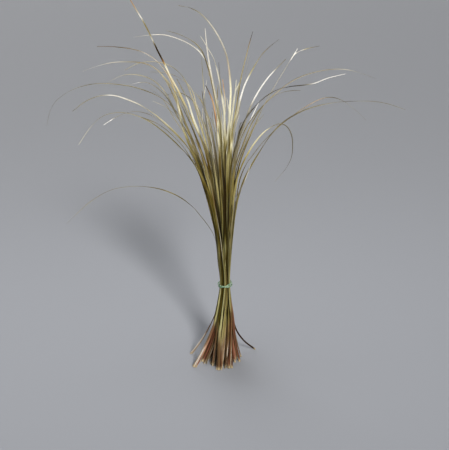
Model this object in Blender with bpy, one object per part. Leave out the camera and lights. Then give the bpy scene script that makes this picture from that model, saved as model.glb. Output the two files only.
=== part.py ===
"""Bunch of bear grass, standing on its splayed cut ends.

Fifty-eight long three-edged leaves pass through a doubled elastic band. Below the band they
splay to a ring of cut ends on the floor, and above it they fan out, arch over and droop.
Units are metres and +Z is up. The origin is the middle of the middle leaf's cut end.
"""

from math import cos, pi, radians, sin, sqrt, tau

import bpy
import numpy as np

MM = 0.001

# Where the leaves are read off: an eye before the bunch, a little above it
EYE_DISTANCE = 3.0
EYE_TILT = radians(15)
EYE_CENTRE = (-1 * MM, 266 * MM)

# Heights where the bunch is settled; the first nine are also stations of every leaf
LEVELS = np.array([0, 28, 58, 90, 120, 155, 200, 250, 300, 345, 390, 440, 500]) * MM
SHARED_STATIONS = 9
FREE_STATIONS = 14

# The foot, the neck and the band
NECK_LEVEL = 5
BAND_HEIGHT = LEVELS[NECK_LEVEL]
NECK_RADIUS = 10.7 * MM
SPLAY_POWER = 2.4
FOOT_RADIUS = 66 * MM
LEAST_SPLAY = 0.76
MOST_SPLAY = 1.10
MOST_CUT_SHORT = 4 * MM
GAP = 0.3 * MM

# How far the outermost cut ends stand aside of an even ring, across and behind
FOOT_LEAN = np.array([-14, -4]) * MM

# The band's grip: this share of the way up to the first place where it is seen, a leaf has gone
# only that share of the way aside
HELD_UP = 0.4
HELD_ASIDE = 0.2

# Steps that scatter a value evenly over the leaves, so that neighbours in the list differ
FOOT_STEP = 0.618
TWIST_STEP = 0.382
TURN_STEP = 0.271

# A leaf's half-width: at each height while it rises, and by the distance left to its tip
RISE_HEIGHTS = np.array([0, 45, 75, 100, 125, 180, 250, 340]) * MM
RISE_HALF_WIDTHS = np.array([3.5, 2.8, 1.95, 1.4, 1.1, 1.1, 1.55, 1.95]) * MM
TIP_HALF_WIDTH = 0.5 * MM
TAPER_LENGTH = 380 * MM
TAPER_GAIN = 1.5 * MM
TAPER_POWER = 0.5
MOST_TWIST = radians(150)

# The three corners of a leaf's section: two edges of its flat side, and its keel
SECTION = ((1.0, 0.25), (0.0, -0.55), (-1.0, 0.25))
SECTION_REACH = 1.03

# How the leaves are sorted into the neck and settled beside each other
ORDER_HEIGHT = 400 * MM
ROUNDS = 500
CALM_ROUNDS = 380
GIVE_WAY = 0.25
SMOOTHING = 0.12
SLOPE_ROOM = 0.5
TINY = 1e-7
FADE_LENGTH = 220 * MM
BEND_WEIGHT = 110 * MM

# The elastic band
STRAND_RADIUS = 1.3 * MM
STRAND_GAP = 0.35 * MM
TURNS_APART = 5.0 * MM
BAND_SLACK = 0.5 * MM
BAND_STEPS = 36
BAND_DIP = 1.6 * MM
BAND_TILT = 1.5 * MM
CROSSING_ANGLE = radians(-88)
CROSSING_SHARPNESS = 0.2

# Each leaf: how far behind the middle its tip lies, how broad it is beside the others, and
# the places (across, height) in mm where it is seen to pass above the neck
LEAVES = {
    "left_leaf_01": (-40, 1.10, [(-34, 396), (-66, 478), (-103, 555), (-131, 606), (-155, 656), (-203, 742)]),
    "left_leaf_02": (60, 1.15, [(-50, 386), (-77, 439), (-98, 517), (-109, 560), (-125, 583), (-150, 605),
                                (-190, 619), (-255, 622)]),
    "left_leaf_03": (120, 0.80, [(-60, 416), (-100, 516), (-114, 548), (-132, 574), (-155, 588), (-190, 593),
                                 (-225, 591), (-284, 573)]),
    "left_leaf_04": (20, 0.80, [(-40, 436), (-62, 510), (-74, 545), (-88, 567), (-112, 585), (-140, 592),
                                (-168, 590), (-200, 576)]),
    "left_leaf_05": (-60, 0.80, [(-62, 410), (-90, 472), (-110, 516), (-126, 540), (-146, 557), (-177, 567),
                                 (-205, 565), (-240, 546)]),
    "left_leaf_06": (90, 0.85, [(-38, 450), (-56, 500), (-64, 530), (-75, 548), (-93, 561), (-115, 570),
                                (-149, 573)]),
    "left_leaf_07": (-90, 1.00, [(-58, 396), (-97, 448), (-158, 499), (-196, 517), (-234, 526), (-272, 517),
                                 (-304, 494)]),
    "left_leaf_08": (-100, 0.60, [(-18, 235), (-41, 274), (-77, 313), (-123, 336), (-174, 343), (-227, 336),
                                  (-273, 310), (-316, 270)]),
    "left_leaf_09": (160, 0.55, [(-64, 430), (-100, 496), (-150, 532), (-212, 547), (-260, 548), (-316, 531),
                                 (-345, 505), (-357, 466)]),
    "left_leaf_10": (-130, 0.70, [(-64, 406), (-92, 440), (-120, 466), (-150, 486), (-180, 493), (-206, 488),
                                  (-242, 467)]),
    "left_leaf_11": (-40, 0.70, [(-56, 380), (-92, 424), (-130, 458), (-170, 482), (-210, 491), (-244, 484),
                                 (-271, 459), (-292, 428)]),
    "left_leaf_12": (130, 0.75, [(-60, 420), (-98, 486), (-120, 526), (-140, 544), (-160, 552), (-194, 546)]),
    "left_leaf_13": (0, 1.15, [(-58, 420), (-86, 486), (-104, 538), (-126, 567)]),
    "left_leaf_14": (-110, 1.20, [(-50, 420), (-79, 489), (-93, 519), (-106, 541)]),
    "left_leaf_15": (-150, 1.25, [(-40, 416), (-62, 477), (-77, 523), (-96, 558)]),
    "left_leaf_16": (60, 0.90, [(-30, 400), (-53, 477), (-62, 522)]),
    "left_leaf_17": (150, 1.10, [(-36, 416), (-44, 460), (-43, 515), (-37, 556)]),
    "left_leaf_18": (170, 0.70, [(-54, 400), (-102, 480), (-130, 524), (-149, 537)]),
    "left_leaf_19": (-170, 0.70, [(-46, 390), (-82, 460), (-100, 486), (-118, 502), (-143, 514)]),
    "left_leaf_20": (-60, 1.05, [(-20, 420), (-36, 490), (-48, 517), (-60, 532)]),
    "left_leaf_21": (110, 0.60, [(-26, 430), (-38, 496), (-44, 550), (-47, 601)]),
    "left_leaf_22": (-180, 1.00, [(-30, 330), (-66, 398), (-95, 436), (-130, 466), (-165, 482)]),
    "left_leaf_23": (190, 1.00, [(-44, 410), (-72, 478), (-90, 520), (-112, 548)]),
    "left_leaf_24": (-190, 1.25, [(-24, 399), (-34, 445), (-40, 500), (-46, 534)]),
    "middle_leaf_01": (40, 1.10, [(6, 420), (10, 490), (11, 550), (-2, 617), (-28, 666), (-60, 697),
                                  (-92, 706)]),
    "middle_leaf_02": (90, 0.85, [(-8, 420), (-17, 505), (-34, 583), (-48, 608), (-72, 628), (-121, 646),
                                  (-182, 643)]),
    "middle_leaf_03": (-30, 1.05, [(-6, 440), (-18, 510), (-36, 588), (-52, 622), (-80, 642), (-116, 654)]),
    "middle_leaf_04": (-60, 1.15, [(-6, 430), (-14, 500), (-23, 544), (-35, 613), (-40, 658)]),
    "middle_leaf_05": (-140, 1.20, [(-1, 430), (-3, 500), (-14, 570), (-23, 601), (-48, 642)]),
    "middle_leaf_06": (190, 1.10, [(-2, 450), (0, 510), (-5, 556)]),
    "middle_leaf_07": (-180, 1.25, [(8, 440), (15, 490), (21, 530), (23, 556)]),
    "middle_leaf_08": (80, 0.90, [(14, 440), (25, 512), (35, 575), (48, 630), (55, 652)]),
    "middle_leaf_09": (170, 0.70, [(18, 450), (28, 500), (37, 550), (49, 604)]),
    "middle_leaf_10": (-60, 1.10, [(14, 450), (26, 500), (36, 535), (52, 570), (76, 610), (107, 637)]),
    "middle_leaf_11": (-120, 1.45, [(-12, 420), (-20, 480), (-26, 518), (-38, 545)]),
    "middle_leaf_12": (120, 1.10, [(-14, 380), (-26, 445), (-39, 493), (-52, 525)]),
    "middle_leaf_13": (220, 1.10, [(-10, 404), (-15, 455), (-17, 505), (-14, 545)]),
    "middle_leaf_14": (-220, 1.20, [(0, 380), (4, 440), (8, 490), (4, 520)]),
    "middle_leaf_15": (240, 1.00, [(4, 400), (10, 470), (20, 530), (34, 560)]),
    "middle_leaf_16": (0, 1.00, [(0, 380), (2, 460), (-6, 530), (-12, 590)]),
    "right_leaf_01": (-50, 1.10, [(22, 420), (38, 466), (54, 509), (83, 557), (121, 597)]),
    "right_leaf_02": (30, 0.80, [(26, 380), (44, 430), (66, 480), (95, 535), (121, 581), (139, 608),
                                 (143, 611), (164, 619), (188, 624)]),
    "right_leaf_03": (-110, 0.80, [(12, 380), (20, 417), (34, 465), (63, 506), (97, 533), (135, 544),
                                   (172, 548), (205, 560), (240, 568)]),
    "right_leaf_04": (120, 0.65, [(22, 400), (40, 456), (74, 502), (114, 541), (155, 564), (205, 576),
                                  (250, 575), (302, 559)]),
    "right_leaf_05": (80, 0.75, [(30, 336), (71, 417), (107, 463), (155, 494), (210, 510), (267, 514),
                                  (315, 510), (360, 497)]),
    "right_leaf_06": (90, 0.65, [(34, 370), (74, 428), (110, 466), (148, 494), (189, 517), (214, 521),
                                 (240, 512), (282, 476)]),
    "right_leaf_07": (-70, 0.85, [(24, 360), (51, 419), (72, 446), (94, 463), (114, 468), (129, 456),
                                  (135, 424), (131, 396), (118, 374), (100, 354)]),
    "right_leaf_08": (150, 0.90, [(24, 410), (42, 456), (54, 484), (67, 512)]),
    "right_leaf_09": (-130, 0.70, [(20, 310), (37, 354), (51, 388)]),
    "right_leaf_10": (200, 0.80, [(18, 350), (34, 414), (52, 452), (76, 486)]),
    "front_leaf_01": (-285, 0.90, [(-8, 330), (-16, 415), (-24, 466), (-30, 480), (-36, 470)]),
    "front_leaf_02": (-305, 0.90, [(8, 330), (18, 405), (27, 452), (33, 470), (40, 462)]),
    "front_leaf_03": (-265, 0.90, [(-3, 360), (-5, 440), (-9, 498), (-12, 515), (-15, 508)]),
    "front_leaf_04": (-240, 0.90, [(12, 350), (24, 420), (38, 470), (56, 502)]),
    "back_leaf_01": (290, 0.80, [(-14, 370), (-34, 450), (-60, 510), (-92, 530), (-120, 525)]),
    "back_leaf_02": (305, 0.80, [(6, 380), (12, 450), (19, 510), (27, 545)]),
    "back_leaf_03": (280, 0.85, [(-4, 400), (-10, 480), (-22, 545), (-34, 570)]),
    "back_leaf_04": (260, 0.80, [(16, 360), (40, 440), (72, 500), (112, 530), (150, 535)]),
}
MIDDLE_LEAF = "middle_leaf_16"

# Cut ends that stand well outside the ring of the others, as (across, behind) in mm, and how late
# their leaves bend outwards below the band
WIDE_FEET = {
    "left_leaf_08": (-50, -30, 2.1),
    "left_leaf_09": (-70, 22, 1.9),
    "left_leaf_22": (-62, -58, 1.9),
    "right_leaf_06": (62, 50, 3.2),
}

# Colour, roughness and metallic value of each finish
LEAF_LOOK = ((0.36, 0.33, 0.13, 1), 0.45, 0.0)
BAND_LOOK = ((0.25, 0.50, 0.34, 1), 0.55, 0.0)


def unit_spread(index, step):
    """An even scatter of values from 0 to 1, one for each index."""
    return (index * step) % 1.0


def seen_place(across, height, behind):
    """The point that far behind the middle which the eye sees at that place of a sheet facing it."""
    view_up = np.array([0, sin(EYE_TILT), cos(EYE_TILT)])
    to_eye = np.array([0, -cos(EYE_TILT), sin(EYE_TILT)])
    side = np.array([1.0, 0, 0])
    eye = side * EYE_CENTRE[0] + view_up * EYE_CENTRE[1] + to_eye * EYE_DISTANCE
    ray = side * across + view_up * height - eye
    return eye + ray * (behind - eye[1]) / ray[1]


def smooth_line(points, steps=14):
    """A smooth line through the points: a centripetal Catmull-Rom curve."""
    points = np.asarray(points, float)
    ends = [2 * points[0] - points[1]], [2 * points[-1] - points[-2]]
    knots = np.concatenate([ends[0], points, ends[1]])
    times = np.concatenate([[0], np.cumsum(np.linalg.norm(np.diff(knots, axis=0), axis=1) ** 0.5)])
    line = []
    for i in range(1, len(knots) - 2):
        p, t = knots[i - 1 : i + 3], times[i - 1 : i + 3]
        for now in np.linspace(t[1], t[2], steps, endpoint=False):
            near = [p[k] + (p[k + 1] - p[k]) * (now - t[k]) / (t[k + 1] - t[k]) for k in range(3)]
            wide = [
                near[k] + (near[k + 1] - near[k]) * (now - t[k]) / (t[k + 2] - t[k]) for k in range(2)
            ]
            line.append(wide[0] + (wide[1] - wide[0]) * (now - t[1]) / (t[2] - t[1]))
    return np.array(line + [points[-1]])


def lengths_along(line):
    """The distance along the line from its start to each of its points."""
    return np.concatenate([[0], np.cumsum(np.linalg.norm(np.diff(line, axis=0), axis=1))])


def upper_line(leaf, neck):
    """The leaf's line from just under its place in the neck to its tip."""
    behind, _, places = leaf
    sheet = np.array([(neck[0], BAND_HEIGHT * cos(EYE_TILT))] + [(a * MM, h * MM) for a, h in places])
    share = lengths_along(sheet)
    share = share / share[-1]
    seen = [
        seen_place(across, height, neck[1] * (1 - part) + behind * MM * part**2)
        for (across, height), part in zip(sheet[1:], share[1:])
    ]
    gripped = np.array([*neck, BAND_HEIGHT])
    held = gripped + (seen[0] - gripped) * [HELD_ASIDE, HELD_ASIDE, HELD_UP]
    return smooth_line([(*neck, LEVELS[NECK_LEVEL - 1]), gripped, held, *seen])


def rise_of(line):
    """How many points of the line come before it has reached its crown."""
    return int(np.argmax(line[:, 2])) + 1


def place_at(line, height):
    """Where the line's rising part passes a height, seen from above."""
    rise = line[: rise_of(line)]
    return np.array([np.interp(height, rise[:, 2], rise[:, k]) for k in (0, 1)])


def neck_order(lines):
    """Each leaf's start in the neck: on its own side, and further out the more it leans."""
    reach = np.array([place_at(line, min(ORDER_HEIGHT, line[:, 2].max())) for line in lines])
    lean = reach - reach.mean(axis=0)
    rank = 0.5 + np.argsort(np.argsort(np.linalg.norm(lean, axis=1)))
    rank[list(LEAVES).index(MIDDLE_LEAF)] = 0
    radius = NECK_RADIUS * np.sqrt(rank / len(rank))
    return lean / np.linalg.norm(lean, axis=1)[:, None] * radius[:, None]


def half_width(broad, height, to_tip):
    """Half the leaf's width at a height and a distance from its tip."""
    rising = np.interp(height, RISE_HEIGHTS, RISE_HALF_WIDTHS)
    tapering = TIP_HALF_WIDTH + TAPER_GAIN * (np.asarray(to_tip) / TAPER_LENGTH) ** TAPER_POWER
    return broad * np.minimum(rising, tapering)


def foot_places(necks):
    """Where each leaf's cut end stands on the floor."""
    feet = []
    for index, (name, neck) in enumerate(zip(LEAVES, necks)):
        if name in WIDE_FEET:
            feet.append(np.array(WIDE_FEET[name][:2]) * MM)
        else:
            splay = LEAST_SPLAY + (MOST_SPLAY - LEAST_SPLAY) * unit_spread(index, FOOT_STEP)
            out = np.linalg.norm(neck) / NECK_RADIUS
            feet.append(neck * FOOT_RADIUS / NECK_RADIUS * splay + FOOT_LEAN * out)
    return np.array(feet)


def bunch_at_levels(lines, necks):
    """Every leaf's place at every level, and whether it rises that far."""
    feet = foot_places(necks)
    places = np.zeros((len(LEVELS), len(lines), 2))
    rises = np.zeros((len(LEVELS), len(lines)), bool)
    powers = [WIDE_FEET[name][2] if name in WIDE_FEET else SPLAY_POWER for name in LEAVES]
    for k, height in enumerate(LEVELS):
        spread = max(0.0, 1 - height / BAND_HEIGHT) ** np.array(powers)
        for i, line in enumerate(lines):
            rises[k, i] = height <= line[:, 2].max()
            if height <= BAND_HEIGHT:
                places[k, i] = necks[i] + (feet[i] - necks[i]) * spread[i]
            else:
                places[k, i] = place_at(line, height)
    return places, rises


def settle(places, rises, room):
    """Moves the leaves aside at each level until none passes through another between two levels.

    Between levels a pair runs on straight lines, so their closest approach is worked out there,
    and each leaf gives way by a part of what is missing. The band holds them in at the neck.
    """
    start = places.copy()
    middle = list(LEAVES).index(MIDDLE_LEAF)
    both = rises[:-1] & rises[1:]
    pairs = both[:, :, None] & both[:, None] & ~np.eye(places.shape[1], dtype=bool)
    wanted = np.maximum(room[:-1], room[1:])
    wanted = wanted[:, :, None] + wanted[:, None]
    for turn in range(ROUNDS):
        apart = places[:, :, None] - places[:, None]
        change = apart[1:] - apart[:-1]
        when = -(apart[:-1] * change).sum(-1) / np.maximum((change**2).sum(-1), TINY**2)
        when = np.clip(when, 0, 1)[..., None]
        closest = apart[:-1] + when * change
        distance = np.maximum(np.linalg.norm(closest, axis=-1), TINY)
        missing = np.maximum(0, wanted - distance) * pairs
        push = (GIVE_WAY * missing / distance)[..., None] * closest
        places[:-1] += ((1 - when) * push).sum(axis=2)
        places[1:] += (when * push).sum(axis=2)
        if turn < CALM_ROUNDS:
            shift = places - start
            shift[1:-1] += SMOOTHING * (shift[:-2] + shift[2:] - 2 * shift[1:-1])
            places = start + shift
        out = np.linalg.norm(places[NECK_LEVEL], axis=1)
        inside = (NECK_RADIUS - room[NECK_LEVEL]) / np.maximum(out, TINY)
        places[NECK_LEVEL] *= np.minimum(1, inside)[:, None]
        places[: NECK_LEVEL + 1, middle] = 0
    return places


def settled_line(line, places, rises, start):
    """The leaf's upper line, moved with the places it has been given at the levels."""
    reached = LEVELS[rises]
    shift = (places - start)[rises]
    top = rise_of(line)
    along = lengths_along(line)
    last = int(np.searchsorted(line[:top, 2], reached[-1]))
    moved = line.copy()
    fade = np.clip((along - along[min(last, top - 1)]) / FADE_LENGTH, 0, 1)
    fade = 1 - fade * fade * (3 - 2 * fade)
    heights = line[:, 2].copy()
    heights[last:] = reached[-1]
    for k in (0, 1):
        moved[:, k] += np.interp(heights, reached, shift[:, k]) * fade
    return moved


def stations_of(line, places):
    """The leaf's stations: at the shared levels, then closer together where it bends."""
    low = [(*places[k], LEVELS[k]) for k in range(SHARED_STATIONS)]
    first = int(np.searchsorted(line[: rise_of(line), 2], LEVELS[SHARED_STATIONS - 1]))
    rest = np.concatenate([[low[-1]], line[first:]])
    steps = np.diff(rest, axis=0)
    length = np.linalg.norm(steps, axis=1)
    steps = steps / length[:, None]
    bend = np.arccos(np.clip((steps[1:] * steps[:-1]).sum(axis=1), -1, 1))
    effort = np.concatenate([[0], np.cumsum(length + BEND_WEIGHT * np.append(bend, 0))])
    chosen = np.linspace(0, effort[-1], FREE_STATIONS + 1)[1:]
    free = np.stack([np.interp(chosen, effort, rest[:, k]) for k in range(3)], axis=1)
    return np.concatenate([low, free])


def grow():
    """Every leaf's stations, from its foot to its tip, with no two leaves in one place."""
    first = [upper_line(leaf, (0.0, 0.0)) for leaf in LEAVES.values()]
    necks = neck_order(first)
    lines = [upper_line(leaf, neck) for leaf, neck in zip(LEAVES.values(), necks)]
    start, rises = bunch_at_levels(lines, necks)
    slope = np.linalg.norm(np.gradient(start, LEVELS, axis=0), axis=-1)
    broad = np.array([leaf[1] for leaf in LEAVES.values()])
    full = np.array([half_width(1.0, height, np.inf) for height in LEVELS])
    room = full[:, None] * broad * SECTION_REACH * np.sqrt(1 + SLOPE_ROOM * slope**2) + GAP
    places = settle(start.copy(), rises, room)
    grown = []
    for i, line in enumerate(lines):
        moved = settled_line(line, places[:, i], rises[:, i], start[:, i])
        grown.append(stations_of(moved, places[:, i]))
    return grown


def finish(name, look):
    """A plain finish with the part's colour, roughness and metallic value."""
    material = bpy.data.materials.new(name)
    material.use_nodes = True
    shader = material.node_tree.nodes["Principled BSDF"]
    shader.inputs["Base Color"].default_value = look[0]
    shader.inputs["Roughness"].default_value = look[1]
    shader.inputs["Metallic"].default_value = look[2]
    return material


def placed(name, data):
    """A new object in the scene."""
    thing = bpy.data.objects.new(name, data)
    bpy.context.scene.collection.objects.link(thing)
    return thing


def curve_through(name, points, cyclic=False):
    """A curve object of straight spans through the points."""
    curve = bpy.data.curves.new(name, "CURVE")
    curve.dimensions = "3D"
    spline = curve.splines.new("POLY")
    spline.points.add(len(points) - 1)
    for knot, point in zip(spline.points, points):
        knot.co = (*point, 1)
    spline.use_cyclic_u = cyclic
    return placed(name, curve)


def leaf_section():
    """The three-edged section, drawn a metre to the half-width, so a point's radius is its half-width."""
    section = curve_through("leaf_section", [(x, y, 0) for x, y in SECTION], cyclic=True)
    section.hide_render = True
    section.display_type = "WIRE"
    return section


def make_leaf(index, name, stations, section, look):
    """A leaf: the three-edged section along its stations, narrowing to the tip and turning slowly."""
    leaf = curve_through(name, stations)
    leaf.data.bevel_mode = "OBJECT"
    leaf.data.bevel_object = section
    leaf.data.use_fill_caps = True
    leaf.data.materials.append(look)
    along = lengths_along(stations)
    twist = MOST_TWIST * (2 * unit_spread(index, TWIST_STEP) - 1)
    turned = tau * unit_spread(index, TURN_STEP)
    for knot, height, done in zip(leaf.data.splines[0].points, stations[:, 2], along):
        knot.radius = half_width(LEAVES[name][1], height, along[-1] - done)
        knot.tilt = turned + twist * done / along[-1]
    return leaf


def lowest_point(thing):
    """The height of the object's lowest corner."""
    graph = bpy.context.evaluated_depsgraph_get()
    shape = thing.evaluated_get(graph)
    lowest = min(vertex.co.z for vertex in shape.to_mesh().vertices)
    shape.to_mesh_clear()
    return lowest


def cut_to_floor(leaf, clear):
    """Slides the leaf's cut end along its own line until its lowest corner is that clear of the floor."""
    bpy.context.view_layer.update()
    foot, next_up = leaf.data.splines[0].points[0], leaf.data.splines[0].points[1]
    along = (next_up.co - foot.co).to_3d()
    foot.co = (*(foot.co.to_3d() + along * (clear - lowest_point(leaf)) / along.z), 1)


def reach_of_bunch(grown, angle, height):
    """How far the leaves reach from the axis at a height near the band, towards an angle."""
    toward = np.array([cos(angle), sin(angle)])
    reach = 0.0
    for leaf, line in zip(LEAVES.values(), grown):
        low = line[:SHARED_STATIONS]
        place = [np.interp(height, low[:, 2], low[:, k]) for k in (0, 1)]
        width = half_width(leaf[1], height, np.inf) * SECTION_REACH
        reach = max(reach, place @ toward + width)
    return reach


def band_line(grown):
    """A closed line that goes twice round the neck and crosses over itself once.

    The two turns lie one above the other. Near the crossing they change places, and the outer one
    is lifted over the inner. Both dip towards the front and rise towards the right.
    """
    lift = 2 * STRAND_RADIUS + STRAND_GAP
    line = []
    for step in range(2 * BAND_STEPS):
        half_turn = pi * step / BAND_STEPS
        angle = CROSSING_ANGLE + pi + 2 * half_turn
        side = cos(half_turn) / sqrt(cos(half_turn) ** 2 + CROSSING_SHARPNESS * sin(half_turn) ** 2)
        over = lift * sqrt(max(0.0, 1 - side * side)) if sin(half_turn) > 0 else 0.0
        height = BAND_HEIGHT + BAND_DIP * sin(angle) + BAND_TILT * cos(angle)
        height += TURNS_APART / 2 * side
        radius = reach_of_bunch(grown, angle, height) + BAND_SLACK + STRAND_RADIUS + over
        line.append((radius * cos(angle), radius * sin(angle), height))
    return line


def make_band(grown, look):
    """The elastic band, taut round the neck."""
    band = curve_through("elastic_band", band_line(grown), cyclic=True)
    band.data.bevel_depth = STRAND_RADIUS
    band.data.bevel_resolution = 2
    band.data.materials.append(look)


def build():
    """Clears the scene and makes the bunch."""
    for thing in list(bpy.data.objects):
        bpy.data.objects.remove(thing)
    leaf_look = finish("leaf", LEAF_LOOK)
    section = leaf_section()
    grown = grow()
    reach = [np.linalg.norm(stations[0, :2]) for stations in grown]
    for index, (name, stations) in enumerate(zip(LEAVES, grown)):
        leaf = make_leaf(index, name, stations, section, leaf_look)
        inner = reach[index] < FOOT_RADIUS / 2 and name != MIDDLE_LEAF
        cut_to_floor(leaf, MOST_CUT_SHORT * unit_spread(index, FOOT_STEP) if inner else 0.0)
    make_band(grown, finish("elastic", BAND_LOOK))


if __name__ == "__main__":
    build()
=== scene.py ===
"""Finish of the bunch of bear grass: every leaf as a fluted blade, the elastic band and the studio.

Each leaf follows the rings of its solid in the frame, from the cut end to the tip, with a finer
section, twist and waves. Thinner leaves lie in its channel through the neck and part from it higher
up. Lengths are in metres, and one frame unit is one metre.
"""

from math import cos, pi, radians, sin, tau

import bpy
import numpy as np
from mathutils import Matrix, Vector


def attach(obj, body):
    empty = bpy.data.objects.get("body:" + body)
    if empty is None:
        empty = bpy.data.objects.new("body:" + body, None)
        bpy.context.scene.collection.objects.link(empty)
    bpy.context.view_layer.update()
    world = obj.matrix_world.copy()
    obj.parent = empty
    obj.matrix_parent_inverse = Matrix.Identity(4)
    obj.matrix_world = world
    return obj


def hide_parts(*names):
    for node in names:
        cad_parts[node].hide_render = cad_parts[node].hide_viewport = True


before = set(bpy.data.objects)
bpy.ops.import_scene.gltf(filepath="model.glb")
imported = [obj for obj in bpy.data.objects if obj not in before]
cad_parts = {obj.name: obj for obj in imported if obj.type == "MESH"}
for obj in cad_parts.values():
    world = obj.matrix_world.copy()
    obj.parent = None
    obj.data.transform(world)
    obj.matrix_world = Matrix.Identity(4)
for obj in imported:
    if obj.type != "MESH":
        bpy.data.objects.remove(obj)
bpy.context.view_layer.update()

MM = 0.001

# The eye: how far from the bunch it is, how much it looks down, what it looks at and how much it sees,
# and the way to it that bright leaves face
EYE_DISTANCE = 3.0
EYE_TILT = radians(15)
EYE_CENTRE = (-1 * MM, 266 * MM)
VIEW_WIDTH = 898 * MM
TO_EYE = np.array([0.15, -cos(EYE_TILT), sin(EYE_TILT)])
SENSOR_WIDTH = 36.0

# The studio: its two suns, each with the way to it, its strength, width and colour, the light overhead
# with its place, aim, size, watts and colour, then the sky and the floor
KEY_LIGHT = ((0.22, -1.0, 0.44), 3.8, radians(9), (1.0, 0.98, 0.94))
FILL_LIGHT = ((-0.3, 1.0, 0.2), 1.2, radians(40), (1.0, 1.0, 1.0))
TOP_LIGHT = ((-0.2, 0.2, 2.0), (0, 0, 0.5), 0.5, 10, (0.98, 0.99, 1.0))
SKY = (180, 180, 178)
SKY_STRENGTH = 0.25
FLOOR = (166, 169, 177)
FLOOR_RADIUS = 40.0
FLOOR_CORNERS = 96
FLOOR_DROP = 0.2 * MM

# The solid's section: its flat side's height and its depth, as shares of the half-width
FLAT_SIDE = 0.25
SOLID_DEPTH = 0.8

# Stations between two rings of the solid, and the stations in which every leaf still rises
STEPS = 6
RISING = slice(0, 8 * STEPS)

# The section: where its points lie across the leaf, and its depths in half-widths and their powers
UPPER_ACROSS = np.array([1, 0.8, 0.45, 0, -0.45, -0.8, -1])
BACK_ACROSS = np.array([-1, -0.82, -0.5, -0.15, 0.15, 0.5, 0.82, 1])
MARGIN = 0.11
GROOVE_DEPTH, GROOVE_POWER = 0.34, 1.6
KEEL_DEPTH, KEEL_POWER = 0.64, 0.9
SHEATH_HOLLOW, SHEATH_DEPTH = 0.10, 0.62
TIP_LENGTH = 2.5 * MM
CREASE = radians(38)

# Heights that part the leaf's zones
SHEATH_TOP = 75 * MM
BAND_HEIGHT = 155 * MM
LOOSE_FROM = 190 * MM
LOOSE_BY = 330 * MM

# The waves of a leaf's loose part: each wave's least length and what a leaf may add to it, how far
# the line sways and how far the section turns on the slow and the quick one
SLOW_WAVE = (0.19, 0.08)
QUICK_WAVE = (0.083, 0.03)
SWAYS = (0.8 * MM, 0.3 * MM)
ROLLS = (0.9, 0.35)

# Leaves that face the eye: how bright they are on the whole, or how bright or red at their strongest,
# over how many stations a bright stretch turns, from how far out, and how much of their roll they lose
STRIKING_MEAN, STRIKING_PEAK, STRIKING_SPAN = 0.5, 0.7, 0.2
GLINT_FROM, GLINT_SPAN = 0.8, 0.25
GLINT_STATIONS = 13
FACING_FROM = 50 * MM
FACING_STEADY = 0.8

# The thinner leaves by their rank beside a leaf: how high they lie in its channel, how wide they are,
# and how much farther out than the first two they may go
NEST_HEIGHTS = (0.42, 0.72, 1.0, 0.25)
NEST_WIDTHS = (0.85, 0.7, 0.6, 0.6)
NEST_REACHES = (1.0, 1.0, 1.9, 1.9)

# What is drawn at random for each thinner leaf, lengths in millimetres: the share of the way and the
# distance out and height where it ends, how far it drifts and droops, how far its foot steps aside,
# and the change in how bright it is, how much painted sheen it has and how red it is
NEST_SHARE = (0.6, 0.88)
NEST_OUT = (40, 75)
NEST_HIGH = (420, 540)
NEST_DRIFT = (8, 22)
NEST_DROOP = (0, 12)
NEST_STEP = (3.5, 6.5)
NEST_CHANGES = ((-0.4, 0.3), (-0.3, 0.3), (-0.5, 0.35))
NEST_LIMITS = (0.12, 1.1)

# Where a thinner leaf may drift: the ways tried, the room that is enough, how far out a leaf only
# drifts inwards, and the power on which it drifts
DRIFT_WAYS = 12
ROOM_ENOUGH = 4 * MM
FAR_OUT = 15 * MM
INWARD = -0.2
DRIFT_POWER = 1.3

# A thinner leaf's form: how thin it is in the neck, the power on which its foot splays, and its taper
NEST_THINNESS = 0.45
SPLAY_POWER = 2.4
TAPER_GAIN = 1.5 * MM
TAPER_LENGTH = 380 * MM
TAPER_POWER = 0.5
TIP_HALF_WIDTH = 0.35 * MM

# The elastic band, as its solid runs
STRAND_RADIUS = 1.3 * MM
STRAND_GAP = 0.35 * MM
TURNS_APART = 5.0 * MM
BAND_SLACK = 0.5 * MM
BAND_DIP = 1.6 * MM
BAND_TILT = 1.5 * MM
CROSSING_ANGLE = radians(-88)
CROSSING_SHARPNESS = 0.2
SECTION_REACH = 1.03
BAND_STATIONS = 144
BAND_CORNERS = 12
BAND_SQUARENESS = 3.2
BAND_FILL = 0.92

# Each leaf's nature, where it is the same from end to end: how bright it is, how much painted grey
# sheen lies on its far part and how red it is, from 0 to 1
NATURES = {
    "left_leaf_05": (0.52, 0.70, 0.00),
    "left_leaf_08": (0.42, 0.50, 0.00),
    "left_leaf_16": (0.78, 0.60, 0.10),
    "left_leaf_18": (0.50, 0.60, 0.10),
    "left_leaf_21": (0.55, 0.40, 0.10),
    "left_leaf_23": (0.50, 0.40, 0.05),
    "middle_leaf_09": (0.50, 0.90, 0.15),
    "middle_leaf_12": (0.62, 0.70, 0.00),
    "middle_leaf_16": (0.30, 0.20, 0.20),
    "right_leaf_10": (0.50, 0.70, 0.00),
    "back_leaf_01": (0.45, 0.60, 0.10),
    "back_leaf_02": (0.55, 0.40, 0.10),
    "back_leaf_03": (0.55, 0.50, 0.20),
    "back_leaf_04": (0.40, 0.60, 0.05),
}
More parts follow.
